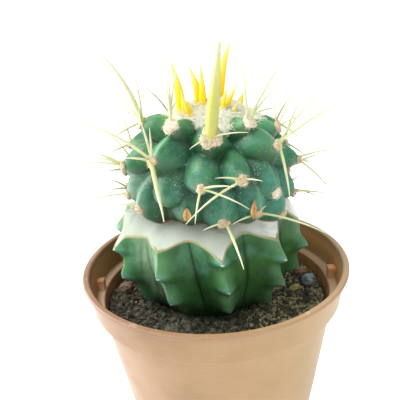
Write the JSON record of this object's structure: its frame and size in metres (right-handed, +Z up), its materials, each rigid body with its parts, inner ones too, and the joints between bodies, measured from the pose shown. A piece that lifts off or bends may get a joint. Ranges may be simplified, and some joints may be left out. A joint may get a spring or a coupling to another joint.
{
  "type": "potted monstrose golden barrel cactus grafted on a ribbed rootstock",
  "caption": "Lumpy monstrose cactus head with golden crown spines and wool, grafted on the pale bevelled cut of a ribbed green rootstock, in a tapered nursery pot.",
  "frame": {"origin": "middle of the pot's foot, on the plane the pot stands on", "axes": "+Z up; -Y towards the viewer of the picture, +X to the viewer's right"},
  "size_m": [0.0869, 0.0867, 0.1387],
  "materials": {
    "pot": "thin tan-terracotta plastic with a soft sheen, pinkish rim and browner inside",
    "soil": "damp dark potting mix with pale grains and fibres",
    "rootstock": "smooth waxy green skin with a grey-white dried cut face",
    "head": "waxy blue-green skin with a pale bloom, tan woolly areoles and pale yellow spines",
    "wool": "off-white felted wool with golden yellow spines",
    "pebble_blue_grey": "smooth matt stone",
    "pebble_tan": "rough matt stone",
    "pebble_brown": "rough matt stone",
    "bark_chip": "dry fibrous chip"
  },
  "bodies": {
    "root": {"pot": "pot", "soil": "soil", "rootstock": "rootstock", "head": "head", "crown_wool": "wool", "pebble_blue_grey": "pebble_blue_grey", "pebble_tan": "pebble_tan", "pebble_brown": "pebble_brown", "bark_chip_yellow": "bark_chip"}
  },
  "joints": []
}
